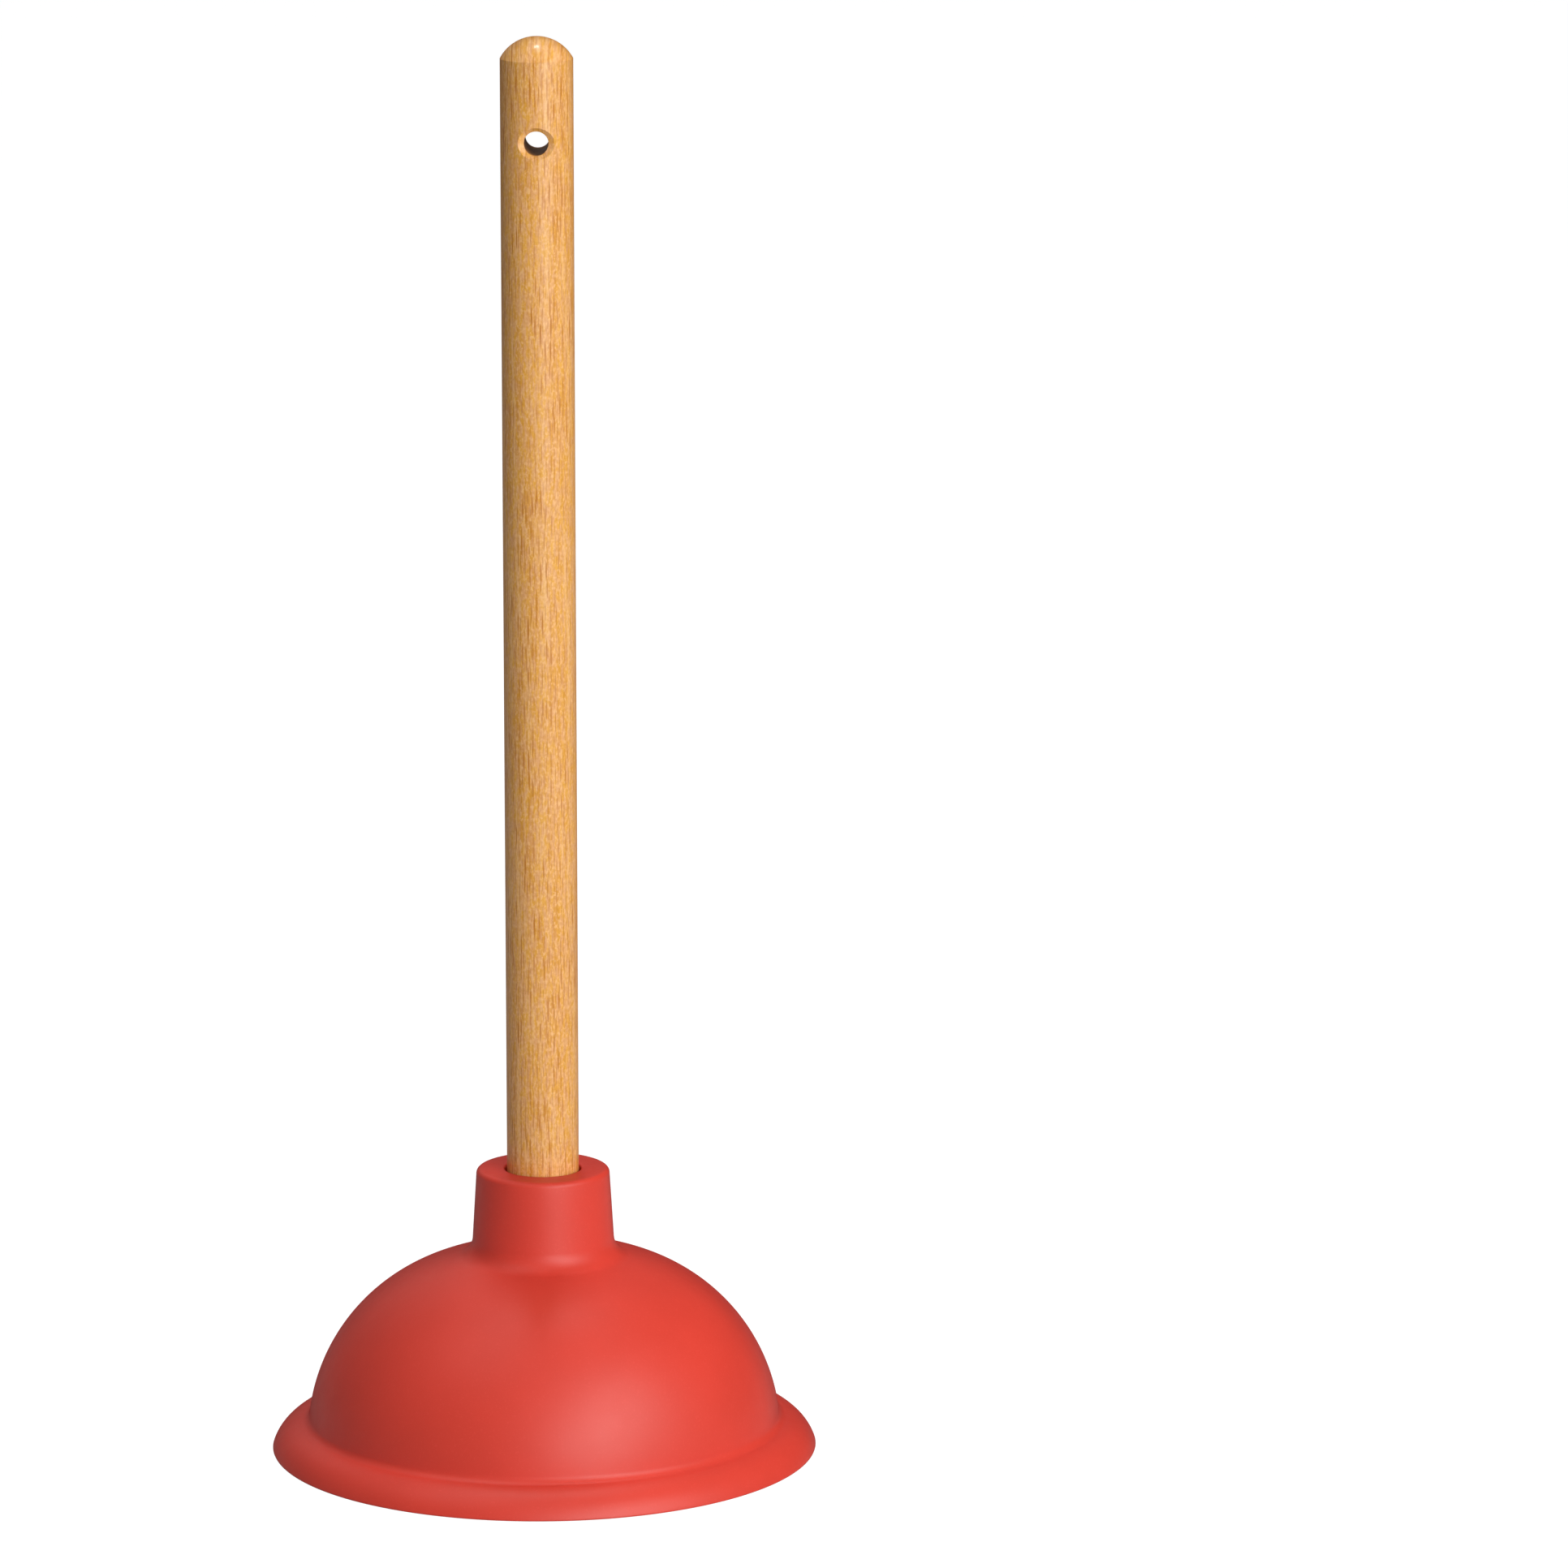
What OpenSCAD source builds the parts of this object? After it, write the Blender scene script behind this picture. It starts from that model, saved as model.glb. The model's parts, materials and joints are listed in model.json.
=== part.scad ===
// Toilet plunger: a one-piece rubber force cup on a wooden dowel handle.
// Units are millimetres. The origin is on the axis, in the plane of the cup's rim, and +Z runs up the handle.

/* [Cup rim] */
// Outer diameter of the rim
rim_d = 152.4; // [150:0.2:156]
// Height from the rim's plane to the top of the neck
cup_h = 80; // [76:0.5:86]
// Thickness of the rubber wall
wall = 4.5; // [3.5:0.5:5.5]
// Radius of the rounded lip that runs round the rim
lip_r = 10.8; // [10:0.1:12]
// Depth of the lip's centre below the rim's plane
lip_sink = 3; // [2:0.1:4]
// Radius of the hollow between the lip and the dome
lip_hollow_r = 2.5; // [1.5:0.5:4]

/* [Dome] */
// Radius of the arc down the dome's side
side_r = 52.2; // [51.5:0.1:53]
// Distance of the side arc's centre from the axis
side_x = 14; // [13:0.1:15]
// Height of the side arc's centre
side_z = 3.2; // [2:0.1:5]
// Radius of the arc over the dome's crown
crown_r = 91.8; // [85:0.2:100]

/* [Neck] */
// Diameter of the neck at its top
neck_top_d = 37; // [35:0.2:40]
// Taper of the neck's side from upright, in degrees
neck_taper = 3.5; // [0:0.5:6]
// Radius of the neck's top edge
neck_edge_r = 1.5; // [0.5:0.25:3]
// Radius of the hollow between the neck and the dome
neck_hollow_r = 6; // [3:0.5:9]

/* [Socket] */
// Depth of the dowel's socket
socket_depth = 23.5; // [20:0.5:26]
// Diameter of the socket at its mouth
socket_mouth_d = 21.2; // [20.8:0.1:22]
// Diameter of the socket at its floor
socket_floor_d = 20.4; // [20.3:0.1:20.8]
// Width of the lead-in at the socket's mouth
socket_lead = 0.5; // [0.2:0.1:1]
// Thickness of the rubber web under the dowel
web_t = 6; // [5:0.5:8]
// Diameter of the flat pad under the web
pad_d = 32; // [26:1:36]

/* [Handle] */
// Diameter of the dowel
dowel_d = 20; // [18:0.1:20.2]
// Length of the dowel
dowel_len = 340; // [250:5:600]
// Height of the domed end above its shoulder
dome_end_h = 6; // [3:0.5:9]
// Chamfer on the dowel's lower end
dowel_chamfer = 1; // [0.5:0.25:2]
// Diameter of the hanging hole
hang_hole_d = 6.9; // [4:0.1:9]
// Drop of the hanging hole's centre from the top of the dowel
hang_drop = 28; // [20:1:60]
// Depth of the countersink on each side of the hanging hole
hang_sink = 1.1; // [0.5:0.1:1.4]

/* [Fastening] */
// Diameter of the wood screw's shank and thread
screw_d = 4.8; // [4:0.2:5]
// Diameter at the root of the thread
screw_root_d = 3.4; // [2.8:0.1:3.8]
// Length of the wood screw under its head
screw_len = 32; // [25:1:45]
// Length of the screw's plain shank
shank_len = 9; // [8:0.5:12]
// Distance between the thread's turns
thread_pitch = 2; // [1.4:0.1:2.4]
// Length of the screw's point
tip_len = 4; // [3:0.5:6]
// Diameter of the screw's round head
head_d = 9.2; // [8:0.2:11]
// Height of the screw's round head
head_h = 3.2; // [2.4:0.1:4]
// Outer diameter of the washer
washer_d = 22; // [18:1:26]
// Thickness of the washer
washer_t = 1.5; // [1:0.1:2.5]
// Diameter of the washer's hole
washer_hole_d = 5.2; // [5.1:0.1:6]

/* [Hidden] */
$fn = 180;

// Gap between the screw and the wood cut by its thread
thread_gap = 0.05;
// Radial gap between the screw and the hole through the web
web_gap = 0.3;
// Break on the washer's edges
washer_edge = 0.3;
// Screw head's cross recess
recess_len = 5;
recess_w = 0.9;
recess_depth = 1.6;
// How far a cutting shape runs past the surface it cuts
past = 1;
// How far the hollows' circles run into the arcs they join, so that they cross instead of only touching
bite = 0.002;

rim_r = rim_d / 2;
dowel_r = dowel_d / 2;
hang_r = hang_hole_d / 2;
screw_r = screw_d / 2;
root_r = screw_root_d / 2;

// Centres of the arcs in the cup's half section, as [distance from axis, height]
side_c = [side_x, side_z];
crown_c = [0, side_z - sqrt(pow(crown_r - side_r, 2) - pow(side_x, 2))];
lip_c = [rim_r - sqrt(pow(lip_r, 2) - pow(lip_sink, 2)), -lip_sink];
lip_hollow_c = circles_meet(side_c, side_r + lip_hollow_r, lip_c, lip_r + lip_hollow_r);

// Unit vector from the crown arc's centre to the point where the crown arc meets the side arc
crown_lean = (side_c - crown_c) / norm(side_c - crown_c);
// Unit vector out of the neck's tapered side
neck_out = [cos(neck_taper), sin(neck_taper)];
neck_edge_c = [neck_r(cup_h - neck_edge_r) - neck_edge_r / neck_out[0], cup_h - neck_edge_r];
neck_hollow_c = neck_hollow_centre();

// Levels on the axis
socket_z = cup_h - socket_depth;
pad_z = socket_z - web_t;
screw_z = pad_z - washer_t;
dowel_top = socket_z + dowel_len;
hang_z = dowel_top - hang_drop;

// Radius of the neck's tapered side at height z
function neck_r(z) = neck_top_d / 2 + (cup_h - z) * tan(neck_taper);

// Where two circles cross, on the left of the line from the first centre to the second
function circles_meet(c1, r1, c2, r2) =
    let (d = norm(c2 - c1),
         along = (r1 * r1 - r2 * r2 + d * d) / (2 * d),
         across = sqrt(r1 * r1 - along * along),
         u = (c2 - c1) / d)
    c1 + along * u + across * [-u[1], u[0]];

// Centre of the hollow that touches both the crown arc and the neck's tapered side
function neck_hollow_centre() =
    let (k = tan(neck_taper),
         reach = crown_r + neck_hollow_r,
         base = neck_r(crown_c[1]) + neck_hollow_r / neck_out[0],
         up = (base * k + sqrt(pow(base * k, 2) - (1 + k * k) * (base * base - reach * reach)))
              / (1 + k * k))
    [base - k * up, crown_c[1] + up];

// Radius of the sphere that caps a disc of radius r with a dome of height h
function cap_r(r, h) = (r * r + h * h) / (2 * h);

// Half section of the solid dome, with its outline moved inwards by t
module dome_section(t) {
    intersection() {
        translate(crown_c) circle(crown_r - t);
        polygon([crown_c, crown_c + 2 * crown_r * crown_lean, crown_c + 2 * crown_r * [0, 1]]);
    }
    translate(side_c) circle(side_r - t);
}

// Half section of the rim's lip and its hollow, with their outline moved inwards by t
module lip_section(t) {
    translate(lip_c) circle(lip_r - t);
    difference() {
        polygon([side_c, lip_c, lip_hollow_c]);
        translate(lip_hollow_c) circle(lip_hollow_r + t + bite);
    }
}

// Half section of the solid dome and lip above the rim's plane, moved inwards by t
module shell_section(t) {
    intersection() {
        union() {
            dome_section(t);
            lip_section(t);
        }
        square([rim_d, cup_h]);
    }
}

// Half section of the solid neck, with its rounded top edge and the hollow at its foot
module neck_section() {
    polygon([[0, pad_z], [neck_r(pad_z), pad_z], neck_edge_c + neck_edge_r * neck_out,
             [neck_edge_c[0], cup_h], [0, cup_h]]);
    translate(neck_edge_c) circle(neck_edge_r);
    foot = neck_hollow_c - neck_hollow_r * neck_out;
    difference() {
        polygon([[0, pad_z], crown_c + (neck_hollow_c - crown_c) / 2, neck_hollow_c, foot, [0, foot[1]]]);
        translate(neck_hollow_c) circle(neck_hollow_r + bite);
    }
}

// Half section of the flat pad that thickens the web around the screw
module pad_section() {
    pad_r = pad_d / 2;
    polygon([[0, pad_z], [pad_r, pad_z], [pad_r + web_t, pad_z + web_t], [0, pad_z + web_t]]);
}

// Half section of the dowel's tapered socket, with the lead-in at its mouth
module socket_section() {
    mouth_r = socket_mouth_d / 2;
    polygon([[0, socket_z], [socket_floor_d / 2, socket_z], [mouth_r, cup_h - socket_lead],
             [mouth_r + socket_lead, cup_h], [mouth_r + socket_lead, cup_h + past], [0, cup_h + past]]);
}

module rubber_cup() {
    color("#d8463a") rotate_extrude() difference() {
        union() {
            shell_section(0);
            neck_section();
        }
        difference() {
            shell_section(wall);
            pad_section();
        }
        socket_section();
        square([screw_r + web_gap, cup_h]);
    }
}

// Half section of the wood screw's plain shank, thread and point, made larger all round by gap
module shank_section(gap) {
    turns = floor((screw_len - shank_len - tip_len) / thread_pitch);
    polygon([
        [0, 0],
        [screw_r + gap, 0],
        [screw_r + gap, shank_len],
        for (i = [0:turns - 1]) each [
            [root_r + gap, shank_len + (i + 0.3) * thread_pitch],
            [screw_r + gap, shank_len + (i + 0.8) * thread_pitch]
        ],
        [root_r + gap, screw_len - tip_len],
        [0, screw_len + 2 * gap]
    ]);
}

// Half section of the dowel, from its chamfered lower end to its domed top
module dowel_section() {
    shoulder = dowel_len - dome_end_h;
    polygon([[0, 0], [dowel_r - dowel_chamfer, 0], [dowel_r, dowel_chamfer], [dowel_r, shoulder], [0, shoulder]]);
    intersection() {
        translate([0, dowel_len - cap_r(dowel_r, dome_end_h)]) circle(cap_r(dowel_r, dome_end_h));
        translate([0, shoulder]) square([dowel_r, dome_end_h]);
    }
}

// Hole along Y through the dowel, countersunk on both sides
module hanging_hole() {
    rotate([90, 0, 0]) cylinder(r = hang_r, h = 2 * dowel_d, center = true);
    for (turn = [0, 180])
        rotate([90, 0, turn]) translate([0, 0, dowel_r - hang_sink])
            cylinder(r1 = hang_r, r2 = hang_r + hang_sink + past, h = hang_sink + past);
}

module handle() {
    color("#dca765") difference() {
        rotate_extrude() difference() {
            translate([0, socket_z]) dowel_section();
            translate([0, screw_z]) shank_section(thread_gap);
        }
        translate([0, 0, hang_z]) hanging_hole();
    }
}

module washer() {
    outer = washer_d / 2;
    inner = washer_hole_d / 2;
    color("#b9bcc0") rotate_extrude() polygon([
        [inner, screw_z], [outer - washer_edge, screw_z], [outer, screw_z + washer_edge],
        [outer, pad_z - washer_edge], [outer - washer_edge, pad_z], [inner, pad_z]
    ]);
}

module retaining_screw() {
    head_r = head_d / 2;
    color("#c9ccd1") translate([0, 0, screw_z]) difference() {
        rotate_extrude() {
            shank_section(0);
            intersection() {
                translate([0, cap_r(head_r, head_h) - head_h]) circle(cap_r(head_r, head_h));
                translate([0, -head_h]) square([head_r, head_h]);
            }
        }
        for (turn = [0, 90])
            rotate([0, 0, turn]) translate([0, 0, -head_h])
                cube([recess_len, recess_w, 2 * recess_depth], center = true);
    }
}

rubber_cup();
handle();
washer();
retaining_screw();
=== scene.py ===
"""Looks of the toilet plunger: a satin red rubber force cup on a lacquered wooden dowel.

The cup and the handle are drawn by their own meshes, which stand for their CAD nodes.
The washer and the screw are the CAD nodes, with a steel material.
Lengths are millimetres and angles are degrees, unless a comment says otherwise.
"""

import json
import math
from typing import NamedTuple

import bmesh
import bpy
import numpy as np
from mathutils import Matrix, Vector


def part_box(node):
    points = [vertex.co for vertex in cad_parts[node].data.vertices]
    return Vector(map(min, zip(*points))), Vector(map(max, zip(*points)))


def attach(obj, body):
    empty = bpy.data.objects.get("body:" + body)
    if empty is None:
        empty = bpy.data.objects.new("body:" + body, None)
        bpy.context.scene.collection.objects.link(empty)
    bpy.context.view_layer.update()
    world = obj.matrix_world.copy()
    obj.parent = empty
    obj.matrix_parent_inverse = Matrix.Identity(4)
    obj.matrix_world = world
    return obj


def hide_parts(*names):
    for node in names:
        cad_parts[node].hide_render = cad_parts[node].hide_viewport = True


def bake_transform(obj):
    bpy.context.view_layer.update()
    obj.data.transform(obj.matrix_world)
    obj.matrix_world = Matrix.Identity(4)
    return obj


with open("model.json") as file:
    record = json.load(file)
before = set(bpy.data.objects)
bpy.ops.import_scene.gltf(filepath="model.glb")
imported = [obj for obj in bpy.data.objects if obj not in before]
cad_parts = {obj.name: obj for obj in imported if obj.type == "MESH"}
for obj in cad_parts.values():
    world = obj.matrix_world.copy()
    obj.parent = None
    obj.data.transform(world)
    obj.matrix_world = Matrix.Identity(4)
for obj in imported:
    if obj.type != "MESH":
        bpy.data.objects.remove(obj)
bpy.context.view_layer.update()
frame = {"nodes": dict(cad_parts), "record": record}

MM = 0.001
# Points of a mesh closer than this, in metres, become one
MERGE_DISTANCE = 1e-7


def box_mm(node):
    """Lowest and highest corner of a CAD node, in millimetres."""
    low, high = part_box(node)
    return low / MM, high / MM


def mount(name):
    """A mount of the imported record."""
    return next(m for m in frame["record"]["mounts"] if m["name"] == name)


CUP_HIGH = box_mm("rubber_cup")[1]
DOWEL_LOW, DOWEL_HIGH = box_mm("handle")
WASHER_HIGH = box_mm("washer")[1]
HANG = mount("hanging_hole")

# Cup: the same arcs as the CAD section
RIM_R = CUP_HIGH.x
CUP_H = CUP_HIGH.z
WALL = 4.5
LIP_R, LIP_SINK, LIP_HOLLOW_R = 10.8, 3.0, 2.5
SIDE_R, SIDE_X, SIDE_Z = 52.2, 14.0, 3.2
CROWN_R = 91.8
NECK_TOP_R, NECK_TAPER, NECK_EDGE_R, NECK_HOLLOW_R = 18.5, 3.5, 1.5, 6.0
SOCKET_Z = DOWEL_LOW.z
SOCKET_MOUTH_R, SOCKET_FLOOR_R = 10.6, 10.2
SCREW_HOLE_R = 2.7
PAD_Z = WASHER_HIGH.z
PAD_R = 16.0
# Width of the slope between the flat pad and the inside of the crown
PAD_FLARE = 0.9
# Small rounds that the CAD leaves sharp or chamfered: the rim's two feet and the socket's mouth
RIM_ROUND, RIM_INNER_ROUND, MOUTH_ROUND = 0.3, 0.6, 0.6
# Extra rings across the neck's flat top
NECK_FACE_RADII = (15.5, 13.5)
CUP_COLUMNS = 256
CUP_SHARP_ANGLE = 35

# Handle
DOWEL_R = DOWEL_HIGH.x
DOWEL_TOP = DOWEL_HIGH.z
END_DOME_H = 6.0
SHOULDER_Z = DOWEL_TOP - END_DOME_H
DOWEL_CHAMFER = 1.0
PILOT_R, PILOT_DEPTH = 2.5, 25.5
HANDLE_COLUMNS = 96
HANDLE_SHARP_ANGLE = 25
SHAFT_RINGS = 40
# Distance of the shaft's outermost plain rings from the dowel's end and from the patch around the hole
SHAFT_END_GAP = 6.0
# The dome's rings stop at this heading, just beside the pole
DOME_STOP_HEADING = 88

# Hanging hole: drawn a touch smaller and lower than the bore
HOLE_TRIM, HOLE_DROP = 0.1, 0.2
HOLE_R = HANG["dims"]["r_mm"] - HOLE_TRIM
HOLE_Z = HANG["pos_m"][2] / MM - HOLE_DROP
# Half sizes of the oval outer edge of the hole's bevel
HOLE_EDGE_X, HOLE_EDGE_Z = 5.0, 4.4
# Depth of the bevel at the hole's sides, and above and below it
HOLE_SINK_SIDE, HOLE_SINK_END = 1.35, 1.1
# Half the columns, and half the rows, of the square patch around the hole
PATCH_HALF = 12
# Places of the rings from the patch's border (0) to the hole's edge (1), and from there to the bore's wall
PATCH_SHARES = (0.0, 0.25, 0.48, 0.68, 0.84, 0.95, 1.0)
BEVEL_SHARES = (0.12, 0.5, 0.88, 1.0)
BORE_STEPS = 12


# --- geometry helpers -------------------------------------------------------

def arc(centre, radius, start, end, steps):
    """Points along an arc of the half section, from one heading to another."""
    angles = np.radians(np.linspace(start, end, steps + 1))
    return [(centre[0] + radius * math.cos(a), centre[1] + radius * math.sin(a)) for a in angles]


def arc_between(centre, radius, start_point, end_point, steps):
    """Points along an arc from the heading of one point to the heading of another, without the first."""
    return arc(centre, radius, heading(centre, start_point), heading(centre, end_point), steps)[1:]


def heading(a, b):
    """Direction from point a to point b."""
    return math.degrees(math.atan2(b[1] - a[1], b[0] - a[0]))


def circles_meet(c1, r1, c2, r2):
    """Where two circles cross, on the left of the line from the first centre to the second."""
    c1, c2 = np.array(c1), np.array(c2)
    d = np.linalg.norm(c2 - c1)
    u = (c2 - c1) / d
    along = (r1 * r1 - r2 * r2 + d * d) / (2 * d)
    across = math.sqrt(r1 * r1 - along * along)
    return tuple(c1 + along * u + across * np.array([-u[1], u[0]]))


def new_piece(name, vertices, faces, material, sharp_angle):
    """A mesh object from points in millimetres, smooth except across edges sharper than sharp_angle."""
    mesh = bpy.data.meshes.new(name)
    mesh.from_pydata([Vector(v) * MM for v in vertices], [], faces)
    bm = bmesh.new()
    bm.from_mesh(mesh)
    bmesh.ops.remove_doubles(bm, verts=bm.verts, dist=MERGE_DISTANCE)
    bmesh.ops.delete(bm, geom=[v for v in bm.verts if not v.link_faces], context="VERTS")
    bmesh.ops.recalc_face_normals(bm, faces=bm.faces)
    bm.to_mesh(mesh)
    bm.free()
    mesh.shade_smooth()
    mesh.set_sharp_from_angle(angle=math.radians(sharp_angle))
    mesh.materials.append(material)
    piece = bpy.data.objects.new(name, mesh)
    bpy.context.scene.collection.objects.link(piece)
    return piece


def revolve(section, columns):
    """Vertices and quads of a closed half section turned about the Z axis."""
    rows = len(section)
    vertices = []
    for column in range(columns):
        turn = 2 * math.pi * column / columns
        vertices += [(r * math.cos(turn), r * math.sin(turn), z) for r, z in section]
    faces = []
    for column in range(columns):
        here = column * rows
        there = (column + 1) % columns * rows
        for row in range(rows):
            up = (row + 1) % rows
            faces.append((here + row, there + row, there + up, here + up))
    return vertices, faces


# --- rubber cup -------------------------------------------------------------

def neck_r(z):
    """Radius of the neck's tapered side at height z."""
    return NECK_TOP_R + (CUP_H - z) * math.tan(math.radians(NECK_TAPER))


def neck_hollow_centre(crown_c):
    """Centre of the hollow that touches the crown's arc and the neck's tapered side."""
    k = math.tan(math.radians(NECK_TAPER))
    reach = CROWN_R + NECK_HOLLOW_R
    base = neck_r(crown_c[1]) + NECK_HOLLOW_R / math.cos(math.radians(NECK_TAPER))
    root = math.sqrt((base * k) ** 2 - (1 + k * k) * (base * base - reach * reach))
    up = (base * k + root) / (1 + k * k)
    return base - k * up, crown_c[1] + up


def neck_edge_centre():
    """Centre of the round along the neck's top edge."""
    z = CUP_H - NECK_EDGE_R
    return neck_r(z) - NECK_EDGE_R / math.cos(math.radians(NECK_TAPER)), z


LIP_C = (RIM_R - math.sqrt(LIP_R ** 2 - LIP_SINK ** 2), -LIP_SINK)
SIDE_C = (SIDE_X, SIDE_Z)
CROWN_C = (0.0, SIDE_Z - math.sqrt((CROWN_R - SIDE_R) ** 2 - SIDE_X ** 2))
LIP_HOLLOW_C = circles_meet(SIDE_C, SIDE_R + LIP_HOLLOW_R, LIP_C, LIP_R + LIP_HOLLOW_R)
NECK_HOLLOW_C = neck_hollow_centre(CROWN_C)
NECK_EDGE_C = neck_edge_centre()
# Heading, from either centre, of the place where the crown's arc goes over into the side's arc
CROWN_START = heading(CROWN_C, SIDE_C)


def rim_foot(radius, round_r, side):
    """Centre of the small round where a lip arc meets the rim's plane; side is 1 outside and -1 inside."""
    reach = radius - side * round_r
    return LIP_C[0] + math.sqrt(reach ** 2 - (LIP_SINK + round_r) ** 2), round_r


def cup_outside():
    """The section from the rim's outer foot up over the lip, dome and neck to the neck's flat top."""
    foot = rim_foot(LIP_R, RIM_ROUND, 1)
    points = arc(foot, RIM_ROUND, -90, heading(LIP_C, foot), 4)
    points += arc_between(LIP_C, LIP_R, foot, LIP_HOLLOW_C, 28)
    points += arc_between(LIP_HOLLOW_C, LIP_HOLLOW_R, LIP_C, SIDE_C, 12)
    points += arc(SIDE_C, SIDE_R, heading(SIDE_C, LIP_HOLLOW_C), CROWN_START, 44)[1:]
    points += arc(CROWN_C, CROWN_R, CROWN_START, heading(CROWN_C, NECK_HOLLOW_C), 8)[1:]
    points += arc(NECK_HOLLOW_C, NECK_HOLLOW_R, heading(NECK_HOLLOW_C, CROWN_C), NECK_TAPER - 180, 14)[1:]
    neck_foot = np.array(points[-1])
    neck_edge = arc(NECK_EDGE_C, NECK_EDGE_R, NECK_TAPER, 90, 10)
    points += [tuple(neck_foot * (1 - t) + np.array(neck_edge[0]) * t) for t in (0.25, 0.5, 0.75)]
    return points + neck_edge


def cup_socket():
    """The section across the neck's flat top, down the socket and through the web to the pad."""
    mouth_c = (SOCKET_MOUTH_R + MOUTH_ROUND, CUP_H - MOUTH_ROUND)
    points = [(r, CUP_H) for r in NECK_FACE_RADII]
    points += arc(mouth_c, MOUTH_ROUND, 90, 180, 6)
    points += [(SOCKET_FLOOR_R, SOCKET_Z), (SCREW_HOLE_R, SOCKET_Z)]
    return points + [(SCREW_HOLE_R, PAD_Z), (PAD_R, PAD_Z)]


def cup_inside():
    """The section from the pad down the inside of the dome and lip to the rim's inner foot."""
    foot = rim_foot(LIP_R - WALL, RIM_INNER_ROUND, -1)
    crown_r = CROWN_R - WALL
    flare_heading = math.degrees(math.acos((PAD_R + PAD_FLARE) / crown_r))
    points = arc(CROWN_C, crown_r, flare_heading, CROWN_START, 12)
    points += arc(SIDE_C, SIDE_R - WALL, CROWN_START, heading(SIDE_C, LIP_HOLLOW_C), 40)[1:]
    points += arc_between(LIP_HOLLOW_C, LIP_HOLLOW_R + WALL, SIDE_C, LIP_C, 12)
    points += arc_between(LIP_C, LIP_R - WALL, LIP_HOLLOW_C, foot, 10)
    return points + arc(foot, RIM_INNER_ROUND, heading(foot, LIP_C), -90, 4)[1:]


def make_cup(material):
    """The cup, turned from its half section, in place of its CAD node."""
    vertices, faces = revolve(cup_outside() + cup_socket() + cup_inside(), CUP_COLUMNS)
    cup = new_piece("cup_skin", vertices, faces, material, CUP_SHARP_ANGLE)
    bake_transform(cup)
    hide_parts("rubber_cup")


# --- wooden handle ----------------------------------------------------------

class Lathe:
    """Collects rings of vertices about the Z axis and the faces between them."""

    def __init__(self):
        self.vertices = []
        self.faces = []

    def ring(self, points):
        """Adds points and returns their numbers."""
        start = len(self.vertices)
        self.vertices += points
        return list(range(start, start + len(points)))

    def level(self, r, z):
        """Adds a round ring that starts at the -Y side."""
        turns = [2 * math.pi * k / HANDLE_COLUMNS for k in range(HANDLE_COLUMNS)]
        return self.ring([(r * math.sin(t), -r * math.cos(t), z) for t in turns])

    def join(self, first, second, skip=()):
        """Adds the quads between two rings, without the columns in skip."""
        for k in range(len(first)):
            if k not in skip:
                after = (k + 1) % len(first)
                self.faces.append((first[k], first[after], second[after], second[k]))

    def close(self, ring, z):
        """Closes a ring with triangles to a point on the axis."""
        tip = self.ring([(0.0, 0.0, z)])[0]
        self.faces += [(ring[k], ring[(k + 1) % len(ring)], tip) for k in range(len(ring))]


def on_dowel(s, z, side):
    """The point at arc length s from the middle of one side of the dowel (side -1 faces -Y) and height z."""
    return DOWEL_R * math.sin(s / DOWEL_R), side * DOWEL_R * math.cos(s / DOWEL_R), z


def patch_border(step):
    """Border of the square patch around a hole, as (arc length, height) offsets in order around it."""
    half = PATCH_HALF
    right = [(half, k) for k in range(-half, half)]
    top = [(-k, half) for k in range(-half, half)]
    left = [(-half, -k) for k in range(-half, half)]
    bottom = [(k, -half) for k in range(-half, half)]
    return [(a * step, b * step) for a, b in right + top + left + bottom]


def edge_offset(t):
    """The point at angle t on the outer edge of the hole's bevel, as an (arc length, height) offset."""
    return DOWEL_R * math.asin(HOLE_EDGE_X * math.cos(t) / DOWEL_R), HOLE_EDGE_Z * math.sin(t)


def bevel_point(t, share, side):
    """A point across the hanging hole's bevel, from its outer edge (share 0) to the bore's wall (share 1)."""
    outer_x = HOLE_EDGE_X * math.cos(t)
    outer_z = HOLE_EDGE_Z * math.sin(t)
    inner_x = HOLE_R * math.cos(t)
    inner_z = HOLE_R * math.sin(t)
    sink = HOLE_SINK_END + (HOLE_SINK_SIDE - HOLE_SINK_END) * math.cos(t) ** 2
    outer_y = math.sqrt(DOWEL_R ** 2 - outer_x ** 2)
    inner_y = math.sqrt(DOWEL_R ** 2 - inner_x ** 2) - sink
    x = outer_x + (inner_x - outer_x) * share
    y = outer_y + (inner_y - outer_y) * share
    z = outer_z + (inner_z - outer_z) * share
    return x, side * y, HOLE_Z + z


def hole_side(lathe, border, side):
    """One side's patch around the hanging hole, from its border in to the top of the bore's wall."""
    turns = [math.atan2(z, s) for s, z in border]
    edge = [edge_offset(t) for t in turns]
    rings = []
    for share in PATCH_SHARES:
        offsets = [(b[0] + (e[0] - b[0]) * share, b[1] + (e[1] - b[1]) * share) for b, e in zip(border, edge)]
        rings.append(lathe.ring([on_dowel(s, HOLE_Z + z, side) for s, z in offsets]))
    for share in BEVEL_SHARES:
        rings.append(lathe.ring([bevel_point(t, share, side) for t in turns]))
    for first, second in zip(rings, rings[1:]):
        lathe.join(first, second)
    return rings[-1]


def add_hole(lathe, step):
    """The hanging hole: a bevelled patch on each side, and the bore's wall between them."""
    border = patch_border(step)
    front = hole_side(lathe, border, -1)
    rear = hole_side(lathe, border, 1)
    last = front
    for share in np.linspace(0, 1, BORE_STEPS + 1)[1:-1]:
        ends = [(Vector(lathe.vertices[a]), Vector(lathe.vertices[b])) for a, b in zip(front, rear)]
        ring = lathe.ring([tuple(a.lerp(b, share)) for a, b in ends])
        lathe.join(last, ring)
        last = ring
    lathe.join(last, rear)


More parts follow.
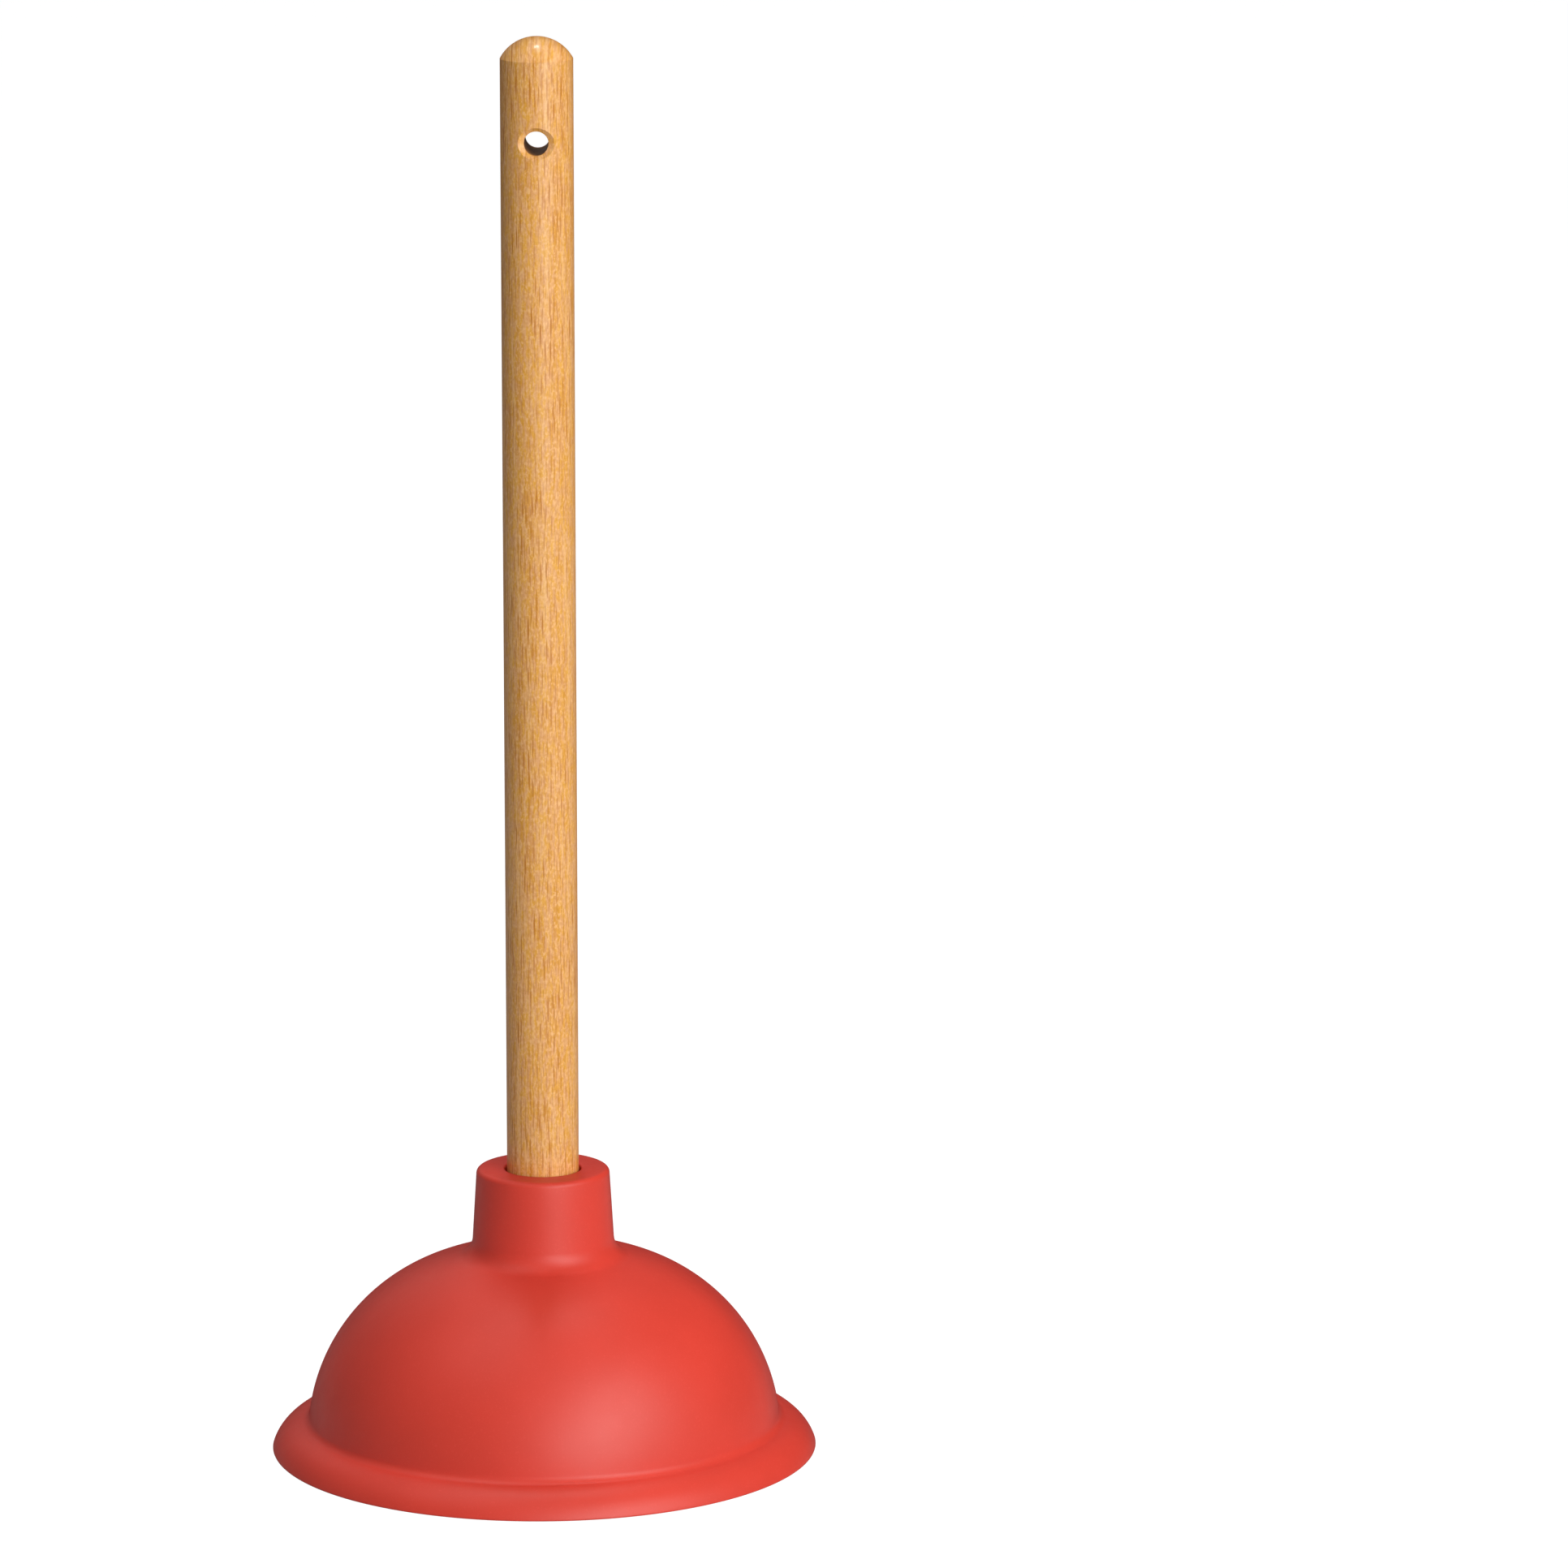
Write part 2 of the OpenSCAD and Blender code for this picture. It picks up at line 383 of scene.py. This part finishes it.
def add_pilot_hole(lathe, end_ring, low_end):
    """The hole for the screw, up from the dowel's lower end."""
    top = low_end + PILOT_DEPTH
    wall = lathe.level(PILOT_R, top)
    lathe.join(end_ring, wall)
    lathe.close(wall, top + PILOT_R / 2)


def make_handle(material):
    """The dowel, turned about its axis, with square gaps in its side that the hole's two patches fill."""
    lathe = Lathe()
    step = DOWEL_R * 2 * math.pi / HANDLE_COLUMNS
    patch_levels = [HOLE_Z + k * step for k in range(-PATCH_HALF, PATCH_HALF + 1)]
    low_end = DOWEL_LOW.z

    section = [(PILOT_R, low_end), (DOWEL_R - DOWEL_CHAMFER, low_end), (DOWEL_R, low_end + DOWEL_CHAMFER)]
    shaft = np.linspace(low_end + SHAFT_END_GAP, patch_levels[0] - SHAFT_END_GAP, SHAFT_RINGS)
    section += [(DOWEL_R, z) for z in shaft]
    patch_rows = range(len(section), len(section) + 2 * PATCH_HALF)
    section += [(DOWEL_R, z) for z in patch_levels + [SHOULDER_Z]]
    cap_r = (DOWEL_R ** 2 + END_DOME_H ** 2) / (2 * END_DOME_H)
    cap_c = (0.0, DOWEL_TOP - cap_r)
    section += arc(cap_c, cap_r, heading(cap_c, (DOWEL_R, SHOULDER_Z)), DOME_STOP_HEADING, 20)[1:]

    back = HANDLE_COLUMNS // 2
    patch_columns = {k % HANDLE_COLUMNS for k in range(-PATCH_HALF, PATCH_HALF)}
    patch_columns |= set(range(back - PATCH_HALF, back + PATCH_HALF))
    rings = [lathe.level(r, z) for r, z in section]
    for row, (first, second) in enumerate(zip(rings, rings[1:])):
        lathe.join(first, second, skip=patch_columns if row in patch_rows else ())
    lathe.close(rings[-1], DOWEL_TOP)
    add_pilot_hole(lathe, rings[0], low_end)
    add_hole(lathe, step)

    handle = new_piece("handle_wood", lathe.vertices, lathe.faces, material, HANDLE_SHARP_ANGLE)
    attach(handle, "handle")
    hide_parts("handle")


# --- node trees -------------------------------------------------------------

class Graph:
    """Builds a node tree one node at a time."""

    def __init__(self, tree):
        self.tree = tree

    def link(self, source, target):
        self.tree.links.new(source, target)

    def put(self, target, value):
        """Gives an input a value, or joins it to another node's output."""
        if isinstance(value, bpy.types.NodeSocket):
            self.link(value, target)
        else:
            target.default_value = value

    def node(self, kind, settings=None, **inputs):
        """A new node with settings as its attributes; in an input's name an underscore stands for a space."""
        made = self.tree.nodes.new("ShaderNode" + kind)
        for key, value in (settings or {}).items():
            setattr(made, key, value)
        for key, value in inputs.items():
            self.put(made.inputs[key.replace("_", " ")], value)
        return made

    def math(self, operation, a, b=0.0):
        made = self.node("Math", {"operation": operation})
        self.put(made.inputs[0], a)
        self.put(made.inputs[1], b)
        return made.outputs[0]

    def times(self, a, b):
        return self.math("MULTIPLY", a, b)

    def vector(self, operation, a, b):
        made = self.node("VectorMath", {"operation": operation})
        self.put(made.inputs[0], a)
        self.put(made.inputs[1], b)
        return made.outputs[0]

    def split(self, vector):
        """The three parts of a vector."""
        return self.node("SeparateXYZ", Vector=vector).outputs

    def ramp(self, value, start, end, low, high):
        """low up to start and high from end on, straight in between."""
        made = self.node("MapRange", Value=value, From_Min=start, From_Max=end, To_Min=low, To_Max=high)
        return made.outputs[0]

    def spread(self, value, low, high):
        """Maps 0 to 1 onto low to high."""
        return self.ramp(value, 0.0, 1.0, low, high)

    def band(self, value, start, end):
        """0 before start and 1 past end, smooth in between; start may be the higher."""
        smooth = {"interpolation_type": "SMOOTHSTEP"}
        return self.node("MapRange", smooth, Value=value, From_Min=start, From_Max=end).outputs[0]


class Surface(Graph):
    """A material with one main surface. Its patterns are read in `space`, at first the object's own."""

    def __init__(self, name):
        self.material = bpy.data.materials.new(name)
        self.material.use_nodes = True
        super().__init__(self.material.node_tree)
        self.tree.nodes.clear()
        self.output = self.node("OutputMaterial")
        self.surface = self.node("BsdfPrincipled")
        self.link(self.surface.outputs[0], self.output.inputs["Surface"])
        self.space = self.node("TexCoord").outputs["Object"]

    def set(self, **inputs):
        """Sets inputs of the main surface; an underscore stands for a space."""
        for key, value in inputs.items():
            self.put(self.surface.inputs[key.replace("_", " ")], value)

    def noise(self, across, along=None, detail=2.0, roughness=0.5):
        """Noise from 0 to 1, in cycles a metre across and along the Z axis; one number is both."""
        scale = (across, across, across if along is None else along)
        spot = self.node("Mapping", Vector=self.space, Scale=scale).outputs[0]
        made = self.node("TexNoise", Vector=spot, Scale=1.0, Detail=detail, Roughness=roughness)
        return made.outputs["Fac"]

    def mix(self, factor, a, b):
        """Mixes two colours."""
        made = self.tree.nodes.new("ShaderNodeMix")
        made.data_type = "RGBA"
        factor_input, colour_a, colour_b = made.inputs[0], made.inputs[6], made.inputs[7]
        self.put(factor_input, factor)
        self.put(colour_a, a)
        self.put(colour_b, b)
        return made.outputs[2]

    def tint(self, tone, colour, mask, amount):
        """Lays a colour over a tone where the mask is 1, as strongly as amount says."""
        return self.mix(self.times(mask, amount), tone, colour)

    def bump(self, height, depth, strength):
        """Small relief; depth is in millimetres."""
        return self.node("Bump", Height=height, Strength=strength, Distance=depth * MM).outputs["Normal"]

    def outline(self, start):
        """0 where the surface faces the camera, 1 at its outline; a higher start makes a narrower line."""
        return self.band(self.node("LayerWeight", Blend=0.5).outputs["Facing"], start, 1.0)


# --- materials --------------------------------------------------------------

RUBBER_RED = (0.76, 0.053, 0.031, 1.0)
RUBBER_DEEP = (0.72, 0.050, 0.029, 1.0)
RUBBER_BRIGHT = (0.85, 0.085, 0.060, 1.0)
# Deep red of the painted shade along the rubber's outline
RUBBER_OUTLINE_SHADE = (0.25, 0.010, 0.008, 1.0)
WOOD_PINK = (0.82, 0.42, 0.175, 1.0)
WOOD_GOLD = (0.85, 0.42, 0.067, 1.0)
WOOD_LIGHT = (0.94, 0.56, 0.24, 1.0)
WOOD_BROWN = (0.70, 0.29, 0.030, 1.0)
# Brown of the vessel lines, also used for the painted shade along the handle's outline
WOOD_VESSEL_AND_OUTLINE_SHADE = (0.54, 0.18, 0.014, 1.0)
# Dark grey of the painted shade deep inside the hanging hole
WOOD_HOLE_SHADE = (0.10, 0.085, 0.075, 1.0)
STEEL_DULL = (0.50, 0.51, 0.54, 1.0)
STEEL_BRIGHT = (0.70, 0.70, 0.71, 1.0)

# Vessel lines: (width, height) of the cell that holds one line, and half sizes of the line
LONG_CELL, LONG_LINE = (1.35, 7.5), (0.29, 4.6)
SHORT_CELL, SHORT_LINE = (0.9, 3.5), (0.18, 2.0)
SHORT_STRENGTH = 0.6
# How far the vessel lines sway sideways
VESSEL_SWAY = 0.4
# The vessel lines stop this angle short of the rear, in radians, where the unrolled surface meets itself
REAR_FADE = 0.06
# The painted shade in the hole is full up to the first distance outside the bore's wall, and gone at the
# second
DARK_WALL_FULL, DARK_WALL_GONE = 0.02, 0.15
# It begins at the first depth below the dowel's surface, and is full at the second
DARK_FROM, DARK_FULL = 0.8, 4.5


def rubber_material():
    """Satin moulded rubber: nearly even red, with a faint cloudiness, a very fine speckle and painted shade
    along its outline.
    """
    m = Surface("red_rubber")
    cloud = m.band(m.noise(38, detail=3), 0.3, 0.7)
    speckle = m.band(m.noise(1700, detail=1), 0.55, 0.8)
    outline = m.outline(0.6)
    tone = m.mix(cloud, RUBBER_DEEP, RUBBER_RED)
    tone = m.tint(tone, RUBBER_BRIGHT, speckle, 0.25)
    # Painted shade: the rubber darkens towards its outline as seen from the camera
    tone = m.tint(tone, RUBBER_OUTLINE_SHADE, outline, 0.43)
    m.set(
        Base_Color=tone,
        Roughness=m.spread(m.noise(240), 0.41, 0.49),
        Specular_IOR_Level=m.spread(outline, 0.5, 0.0),
        Normal=m.bump(m.noise(900), depth=0.03, strength=0.5),
    )
    return m.material


def wood_space(m):
    """Where the grain is read: in place on the dowel, and carried up from the front on the end's dome.

    The streaks then run on over the dome, as they do on a turned end.
    """
    x, y, z = m.split(m.space)
    # A touch more than the squared radius, so that the root stays real at the dowel's sides
    radius_squared = (DOWEL_R * MM) ** 2 * 1.001
    depth = m.math("SQRT", m.math("SUBTRACT", radius_squared, m.times(x, x)))
    on_dome = m.math("GREATER_THAN", z, SHOULDER_Z * MM)
    front = m.times(on_dome, m.times(depth, -1.0))
    kept = m.times(m.math("SUBTRACT", 1.0, on_dome), y)
    return m.node("CombineXYZ", X=x, Y=m.math("ADD", front, kept), Z=z).outputs[0]


def hole_shade_mask(m):
    """Mask of the painted shade inside the hanging hole: 1 on the wall deep inside, 0 at either mouth."""
    x, y, z = m.split(m.space)
    up = m.math("SUBTRACT", z, HOLE_Z * MM)
    distance = m.math("SQRT", m.math("ADD", m.times(x, x), m.times(up, up)))
    on_wall = m.band(distance, (HOLE_R + DARK_WALL_GONE) * MM, (HOLE_R + DARK_WALL_FULL) * MM)
    deep = m.band(m.math("ABSOLUTE", y), (DOWEL_R - DARK_FROM) * MM, (DOWEL_R - DARK_FULL) * MM)
    return m.times(on_wall, deep)


def vessel_lines(m, around, up, cell, line):
    """Long thin lines along the grain, one in each cell of the unrolled surface, of varied length."""
    column = m.math("DIVIDE", around, cell[0] * MM)
    row = m.math("DIVIDE", up, cell[1] * MM)
    spot = m.node("CombineXYZ", X=column, Y=row).outputs[0]
    flat = {"voronoi_dimensions": "2D"}
    cells = m.node("TexVoronoi", flat, Vector=spot, Scale=1.0, Randomness=1.0).outputs
    away = m.vector("SUBTRACT", spot, cells["Position"])
    away = m.vector("MULTIPLY", away, (cell[0] / line[0], cell[1] / line[1], 0.0))
    depth, shortness, _ = m.node("SeparateColor", Color=cells["Color"]).outputs
    distance = m.node("VectorMath", {"operation": "LENGTH"}, Vector=away).outputs["Value"]
    reach = m.times(distance, m.spread(shortness, 0.75, 1.3))
    return m.times(m.band(reach, 1.0, 0.4), m.spread(depth, 0.3, 1.0))


def wood_vessels(m, drift):
    """Vessel lines of two sizes, fainter in some stretches and left out along the rear."""
    x, y, z = m.split(m.space)
    turn = m.math("ARCTAN2", x, m.times(y, -1.0))
    sway = m.times(m.noise(60, detail=1), VESSEL_SWAY * MM)
    around = m.math("ADD", m.times(turn, DOWEL_R * MM), sway)
    long_ones = vessel_lines(m, around, z, LONG_CELL, LONG_LINE)
    short_ones = m.times(vessel_lines(m, around, z, SHORT_CELL, SHORT_LINE), SHORT_STRENGTH)
    vessels = m.math("MAXIMUM", long_ones, short_ones)
    stretches = m.spread(m.band(drift, 0.4, 0.6), 0.5, 1.0)
    before_rear = m.band(m.math("ABSOLUTE", turn), math.pi, math.pi - REAR_FADE)
    return m.times(m.times(vessels, stretches), before_rear)


def wood_tone(m, hole, drift, streak, fleck, outline):
    """The wood's colour: a mottled ground, then streaks, flecks and vessel lines, with painted shade deep in
    the hanging hole and along the outline.
    """
    mottle = m.noise(1000, 300)
    tone = m.mix(m.band(mottle, 0.36, 0.64), WOOD_GOLD, WOOD_PINK)
    tone = m.tint(tone, WOOD_PINK, m.band(drift, 0.45, 0.7), 0.4)
    tone = m.tint(tone, WOOD_LIGHT, m.band(streak, 0.5, 0.3), 0.6)
    tone = m.tint(tone, WOOD_BROWN, m.band(streak, 0.5, 0.7), 0.55)
    tone = m.tint(tone, WOOD_LIGHT, m.band(fleck, 0.5, 0.66), 0.7)
    tone = m.tint(tone, WOOD_BROWN, m.band(fleck, 0.48, 0.32), 0.4)
    tone = m.mix(wood_vessels(m, drift), tone, WOOD_VESSEL_AND_OUTLINE_SHADE)
    # Painted shade on the hanging hole's wall, darkest deep inside
    tone = m.tint(tone, WOOD_HOLE_SHADE, hole, 0.92)
    # Painted shade: the wood darkens towards its outline as seen from the camera
    return m.tint(tone, WOOD_VESSEL_AND_OUTLINE_SHADE, outline, 0.5)


def wood_material():
    """Clear-lacquered hardwood, with fine relief that follows its flecks and streaks."""
    m = Surface("lacquered_wood")
    hole = hole_shade_mask(m)
    m.space = wood_space(m)
    drift = m.noise(120, 40, detail=3)
    streak = m.noise(700, 22, detail=3, roughness=0.6)
    fleck = m.noise(1700, 1000)
    outline = m.outline(0.5)
    relief = m.math("ADD", fleck, m.times(streak, 0.5))
    m.set(
        Base_Color=wood_tone(m, hole, drift, streak, fleck, outline),
        Roughness=m.spread(m.band(fleck, 0.35, 0.7), 0.32, 0.5),
        Specular_IOR_Level=m.spread(outline, 0.3, 0.1),
        Normal=m.bump(relief, depth=0.06, strength=0.5),
        Coat_Weight=m.spread(outline, 0.3, 0.0),
        Coat_Roughness=0.2,
        Coat_IOR=1.45,
        Coat_Normal=m.bump(fleck, depth=0.04, strength=0.5),
    )
    return m.material


def steel_material():
    """Zinc plating: bright grey with faint clouds and fine turning marks."""
    m = Surface("zinc_plated_steel")
    cloud = m.noise(300, detail=3)
    turning_marks = m.noise(500, 6000)
    m.set(
        Base_Color=m.mix(m.band(cloud, 0.3, 0.7), STEEL_DULL, STEEL_BRIGHT),
        Metallic=1.0,
        Roughness=m.spread(cloud, 0.28, 0.45),
        Normal=m.bump(turning_marks, depth=0.02, strength=0.4),
    )
    return m.material


def coat_fasteners(material):
    """Gives the washer and the screw, which stay CAD nodes, their material."""
    for name in ("washer", "retaining_screw"):
        mesh = frame["nodes"][name].data
        mesh.materials.clear()
        mesh.materials.append(material)


# --- studio: lengths in metres, power in watts ------------------------------

CAMERA_LENS, CAMERA_SENSOR = 200.68, 36.0
CAMERA_PITCH = 11.886
CAMERA_PLACE = (0.0672, -2.3624, 0.6864)
# Where the lights aim, a little below the plunger's middle
LIGHT_TARGET = Vector((0, 0, 0.15))
FLOOR_HALF = 8.0
# How white the floor is as it lights the plunger
FLOOR_BOUNCE = 0.4
# What the camera sees of the floor: its own glow, and how white it is to the light that shows its shadow
FLOOR_GLOW, FLOOR_SHADOW = 0.97, 0.15
# Strength of the light from all round, and of what reflections show of it on the left
WORLD_LIGHT, WORLD_MIRRORED = 0.19, 0.15
# Reflections of it fade out to the right, between these X parts of their direction
MIRROR_FADE_START, MIRROR_FADE_END = -0.4, 0.6


class Light(NamedTuple):
    """A square area light; azimuth 0 is the camera's side, 90 is +X, and reflections show it if mirrored."""

    name: str
    azimuth: float
    elevation: float
    power: float
    distance: float = 2.0
    size: float = 1.2
    mirrored: bool = True


LIGHTS = (
    Light("key_low", 25, 12, 18.5),
    Light("key_high", 45, 32, 14.5),
    Light("side", 60, 12, 5.5, mirrored=False),
    Light("fill", -60, 65, 4),
    Light("glint", 180, 80, 6, distance=1.6, size=0.15),
    Light("back", 195, 25, 9, mirrored=False),
)


def make_camera():
    """A long lens a little right of the plunger, looking slightly down."""
    data = bpy.data.cameras.new("camera")
    data.lens = CAMERA_LENS
    data.sensor_width = CAMERA_SENSOR
    camera = bpy.data.objects.new("camera", data)
    camera.location = CAMERA_PLACE
    camera.rotation_euler = (math.radians(90 - CAMERA_PITCH), 0, 0)
    bpy.context.scene.collection.objects.link(camera)
    bpy.context.scene.camera = camera


def make_light(light):
    """Places an area light and aims it at the plunger."""
    data = bpy.data.lights.new(light.name, "AREA")
    data.shape = "SQUARE"
    data.size = light.size
    data.energy = light.power
    lamp = bpy.data.objects.new(light.name, data)
    turn = math.radians(light.azimuth)
    rise = math.radians(light.elevation)
    direction = Vector((math.sin(turn) * math.cos(rise), -math.cos(turn) * math.cos(rise), math.sin(rise)))
    lamp.location = LIGHT_TARGET + direction * light.distance
    lamp.rotation_euler = direction.to_track_quat("Z", "Y").to_euler()
    lamp.visible_glossy = light.mirrored
    bpy.context.scene.collection.objects.link(lamp)


def grey(value):
    """An opaque grey."""
    return (value, value, value, 1.0)


def floor_material():
    """Lights the plunger as a white floor does, and shows the camera a near-white one with a faint shadow."""
    m = Surface("floor_white")
    m.set(Base_Color=grey(FLOOR_BOUNCE), Roughness=0.9, Specular_IOR_Level=0.0)
    shadow = m.node("BsdfDiffuse", Color=grey(FLOOR_SHADOW))
    glow = m.node("Emission", Color=grey(1.0), Strength=FLOOR_GLOW)
    seen = m.node("AddShader")
    m.link(shadow.outputs[0], seen.inputs[0])
    m.link(glow.outputs[0], seen.inputs[1])
    choice = m.node("MixShader", Fac=m.node("LightPath").outputs["Is Camera Ray"])
    m.link(m.surface.outputs[0], choice.inputs[1])
    m.link(seen.outputs[0], choice.inputs[2])
    m.link(choice.outputs[0], m.output.inputs["Surface"])
    return m.material


def make_floor():
    """A wide flat floor in the rim's plane."""
    far = FLOOR_HALF
    mesh = bpy.data.meshes.new("floor")
    mesh.from_pydata([(-far, -far, 0), (far, -far, 0), (far, far, 0), (-far, far, 0)], [], [(0, 1, 2, 3)])
    mesh.materials.append(floor_material())
    floor = bpy.data.objects.new("floor", mesh)
    bpy.context.scene.collection.objects.link(floor)


def make_world():
    """White to the camera, and a dim even light to the plunger, dark on the right in its reflections."""
    world = bpy.data.worlds.new("studio")
    world.use_nodes = True
    graph = Graph(world.node_tree)
    ray = graph.node("LightPath").outputs
    sideways = graph.split(graph.node("TexCoord").outputs["Generated"])[0]
    mirrored = graph.ramp(sideways, MIRROR_FADE_START, MIRROR_FADE_END, WORLD_MIRRORED, 0.0)
    unseen = graph.spread(ray["Is Glossy Ray"], WORLD_LIGHT, mirrored)
    background = world.node_tree.nodes["Background"]
    graph.put(background.inputs["Color"], grey(1.0))
    graph.put(background.inputs["Strength"], graph.spread(ray["Is Camera Ray"], unseen, 1.0))
    bpy.context.scene.world = world


make_cup(rubber_material())
make_handle(wood_material())
coat_fasteners(steel_material())
make_floor()
make_world()
make_camera()
for light in LIGHTS:
    make_light(light)
bpy.context.scene.view_settings.view_transform = "Standard"
